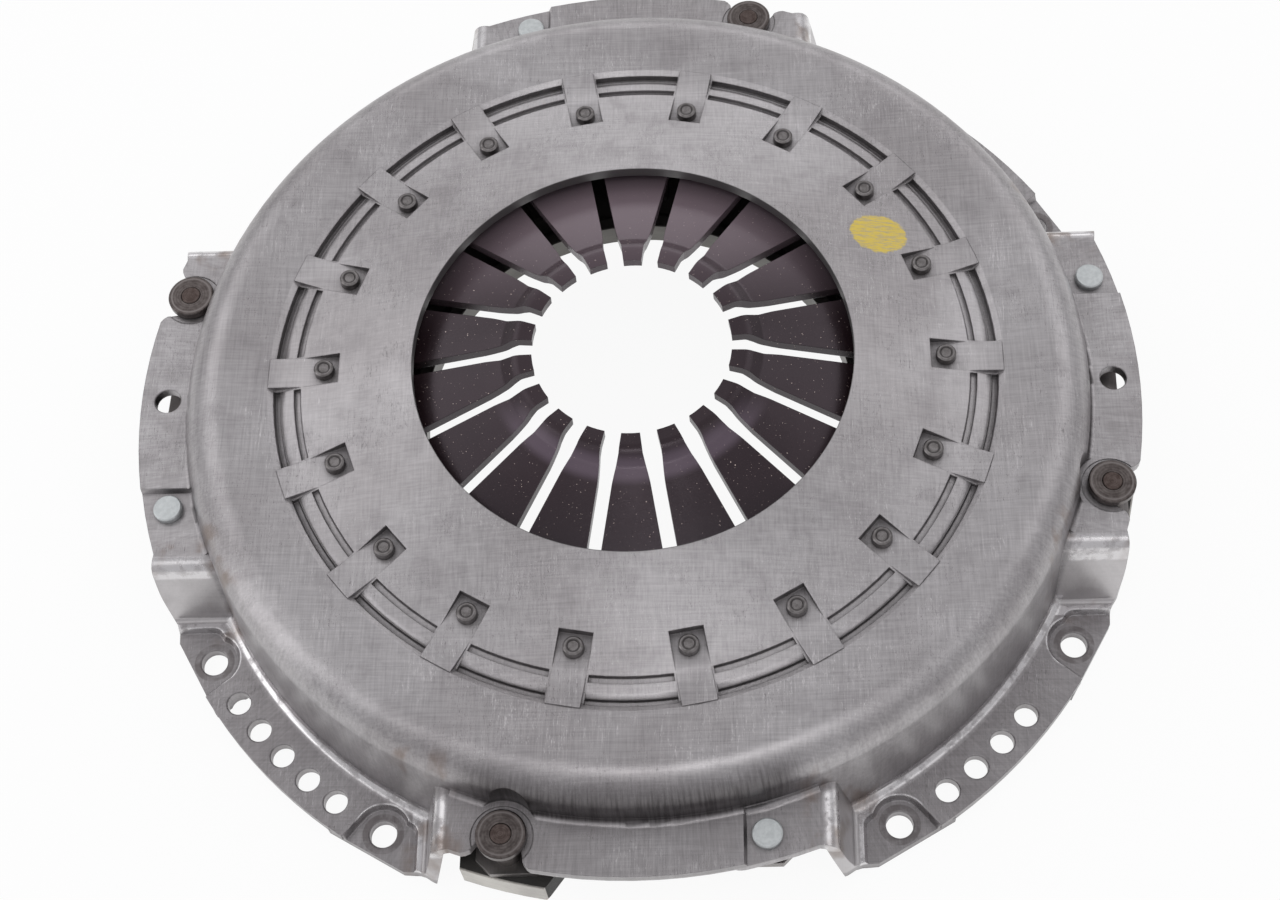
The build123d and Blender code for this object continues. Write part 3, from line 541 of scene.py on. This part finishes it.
# ---------------------------------------------------------------- hidden steel: straps, spacers, wires
def plain_steel(name, low, high, rough):
    graph = Graph(name)
    mottle = graph.noise(0.08, 4.0, seed=3.0, rough=0.6)
    lines = graph.noise(1.0, 2.0, (1.6, 0.08, 1.6), 0.5, 5.0)
    colour = graph.mix(graph.span(mottle, 0.3, 0.7), low, high)
    colour = graph.shade(colour, graph.add(1.0, graph.mul(graph.sub(lines, 0.5), 0.3)))
    graph.set(Base_Color=colour, Metallic=1.0,
              Roughness=graph.add(rough, graph.mul(graph.sub(mottle, 0.5), 0.2)))
    graph.relief(graph.add(mottle, lines), 0.0001, 0.3, soften=0.0004)
    return graph


leaves = [n for n in nodes if "_leaf_" in n]
finish_node(leaves + ["strap_spacers"],
            plain_steel("strap_strip", (0.20, 0.19, 0.185), (0.29, 0.27, 0.265), 0.34))
finish_node(["fulcrum_wire_upper", "fulcrum_wire_lower"],
            plain_steel("drawn_wire", (0.24, 0.23, 0.23), (0.33, 0.31, 0.31), 0.3))

# ---------------------------------------------------------------- pressure plate: dark casting
g = Graph("cast_plate_iron")
pits = g.noise(0.9, 4.0, seed=2.0, rough=0.7)
cast_cloud = g.noise(0.03, 3.0, seed=4.0)
cast = g.mix(g.span(cast_cloud, 0.3, 0.7), (0.014, 0.013, 0.012), (0.032, 0.029, 0.026))
lines = g.noise(1.0, 3.0, (0.05, 0.05, 3.0), 0.6, 7.0)
ground = g.op("SINE", g.mul(g.r, 4.0))
bright = g.mix(g.span(g.noise(0.06, 3.0, seed=9.0), 0.3, 0.7),
               (0.42, 0.40, 0.375), (0.56, 0.54, 0.50))
bright = g.shade(bright, g.add(1.0, g.mul(g.sub(lines, 0.5), 0.5)))
end_face = g.span(g.r, LUG_END_R - 0.15, LUG_END_R + 0.15)
bore = g.span(g.r, PLATE_BORE_R - 0.15, PLATE_BORE_R + 0.15, 1.0, 0.0)
friction = g.span(g.z, FRICTION_Z - 0.1, FRICTION_Z + 0.1, 1.0, 0.0)
worked = g.op("MAXIMUM", g.op("MAXIMUM", end_face, bore), friction)
# Painted shade: the bore inside the plate is darkened to about a quarter of the machined tone.
colour = g.mix(worked, cast, g.shade(bright, g.add(1.0, g.mul(bore, -0.74))))
g.set(Base_Color=colour, Metallic=g.mul(worked, 0.85),
      Roughness=g.add(g.mul(worked, -0.25), g.add(0.62, g.mul(g.sub(pits, 0.5), 0.2))))
height = g.add(g.both(pits, g.sub(1.0, worked)), g.both(g.add(ground, lines), worked, 0.2))
g.relief(height, 0.0005, 0.5, soften=0.0005)
finish_node(["pressure_plate"], g)

# ---------------------------------------------------------------- copies of what bends
def flexing_copy(node):
    """A piece of the same shape and finish that stands for a node which can't stay rigid."""
    piece = bpy.data.objects.new(node + "_flexing", nodes[node].data.copy())
    bpy.context.scene.collection.objects.link(piece)
    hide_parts(node)
    return piece


# Each strap leaf is clamped to the cover beyond one bend and to the plate beyond the other; here it is
# only copied, with its placement baked into its mesh.
for unit in range(4):
    for letter in "abc":
        leaf = flexing_copy(f"strap_{unit + 1}_leaf_{letter}")
        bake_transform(leaf)

# The spring flattens toward a height just above its fulcrum as the plate lifts its rim; here it is only
# copied onto its own mesh and attached to the cover assembly.
spring = flexing_copy("diaphragm_spring")
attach(spring, "cover_assembly")
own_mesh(spring)

# ---------------------------------------------------------------- camera
WIDTH_PX, HEIGHT_PX = 1280, 900
FOCUS_PX, CENTRE_X, CENTRE_Y = 2193.64, 695.9, 433.0
rx, ry, rz = (math.radians(a) for a in (151.579, -2.284, 0.336))
turn_x = Matrix(((1, 0, 0), (0, math.cos(rx), -math.sin(rx)), (0, math.sin(rx), math.cos(rx))))
turn_y = Matrix(((math.cos(ry), 0, math.sin(ry)), (0, 1, 0), (-math.sin(ry), 0, math.cos(ry))))
turn_z = Matrix(((math.cos(rz), -math.sin(rz), 0), (math.sin(rz), math.cos(rz), 0), (0, 0, 1)))
turn = turn_x @ turn_y @ turn_z
shift = Vector((-25.215, 1.074, 1046.843))
where = (-(turn.transposed() @ shift) + Vector((0, 0, 5.5))) / 1000
facing = turn.transposed() @ Matrix(((1, 0, 0), (0, -1, 0), (0, 0, -1)))
lens = bpy.data.cameras.new("camera")
lens.sensor_width = 36
lens.lens = lens.sensor_width * FOCUS_PX / WIDTH_PX
lens.shift_x = (WIDTH_PX / 2 - CENTRE_X) / WIDTH_PX
lens.shift_y = (CENTRE_Y - HEIGHT_PX / 2) / WIDTH_PX
lens.clip_start = 0.01
camera = bpy.data.objects.new("camera", lens)
bpy.context.scene.collection.objects.link(camera)
camera.matrix_world = Matrix.Translation(where) @ facing.to_4x4()
bpy.context.scene.camera = camera

bpy.context.scene.view_settings.view_transform = "Standard"

# ---------------------------------------------------------------- floor, world and lamps
FLOOR_HALF = 3.0
GLOW_SHARE = 0.93        # how far the paper is plain white to the camera and in reflections
corners = [(x * FLOOR_HALF, y * FLOOR_HALF, 0) for x, y in ((-1, -1), (1, -1), (1, 1), (-1, 1))]
floor_mesh = bpy.data.meshes.new("floor")
floor_mesh.from_pydata(corners, [], [(0, 1, 2, 3)])
floor = bpy.data.objects.new("floor", floor_mesh)
floor.location = (0, 0, -0.0005)
bpy.context.scene.collection.objects.link(floor)
paper = bpy.data.materials.new("white_paper")
paper.use_nodes = True
tree = paper.node_tree
tree.nodes.clear()
surface = tree.nodes.new("ShaderNodeOutputMaterial")
plain = tree.nodes.new("ShaderNodeBsdfDiffuse")
plain.inputs["Color"].default_value = (0.86, 0.86, 0.86, 1)
glow = tree.nodes.new("ShaderNodeEmission")
glow.inputs["Color"].default_value = (1, 1, 1, 1)
glow.inputs["Strength"].default_value = 1.0
path = tree.nodes.new("ShaderNodeLightPath")
seen = tree.nodes.new("ShaderNodeMath")
seen.operation = "MAXIMUM"
tree.links.new(path.outputs["Is Camera Ray"], seen.inputs[0])
tree.links.new(path.outputs["Is Glossy Ray"], seen.inputs[1])
part = tree.nodes.new("ShaderNodeMath")
part.operation = "MULTIPLY"
part.inputs[1].default_value = GLOW_SHARE
tree.links.new(seen.outputs[0], part.inputs[0])
blend = tree.nodes.new("ShaderNodeMixShader")
tree.links.new(part.outputs[0], blend.inputs[0])
tree.links.new(plain.outputs[0], blend.inputs[1])
tree.links.new(glow.outputs[0], blend.inputs[2])
tree.links.new(blend.outputs[0], surface.inputs["Surface"])
floor_mesh.materials.append(paper)

world = bpy.data.worlds.new("studio")
bpy.context.scene.world = world
world.use_nodes = True
tree = world.node_tree
sky = tree.nodes["Background"]
sky.inputs["Color"].default_value = (0.985, 0.98, 1.0, 1)
sky.inputs["Strength"].default_value = 0.64


def softbox(name, place, target, size, power):
    light = bpy.data.lights.new(name, "AREA")
    light.shape = "RECTANGLE"
    light.size, light.size_y = size
    light.energy = power
    lamp = bpy.data.objects.new(name, light)
    bpy.context.scene.collection.objects.link(lamp)
    lamp.location = place
    lamp.rotation_euler = (Vector(target) - Vector(place)).to_track_quat("-Z", "Y").to_euler()
    return lamp


softbox("top_box", (0.0, -0.62, 1.50), (0, 0, 0.05), (3.2, 0.7), 2.8)
softbox("key_box", (0.05, -0.43, 1.28), (0, 0, 0.05), (0.5, 0.16), 0.85)
softbox("back_box", (0.0, 1.00, 1.20), (0, 0, 0.05), (3.0, 0.8), 1.7)
softbox("low_left_box", (-1.75, -0.35, 0.75), (0, 0, 0.05), (0.6, 1.8), 4.2)
softbox("low_box", (0.1, 1.80, 0.74), (0, 0, 0.05), (2.4, 0.5), 3.6)
softbox("left_box", (-1.05, 0.60, 1.15), (0, 0, 0.05), (0.9, 1.0), 2.0)
softbox("right_box", (1.05, 0.60, 1.15), (0, 0, 0.05), (0.9, 1.0), 1.5)
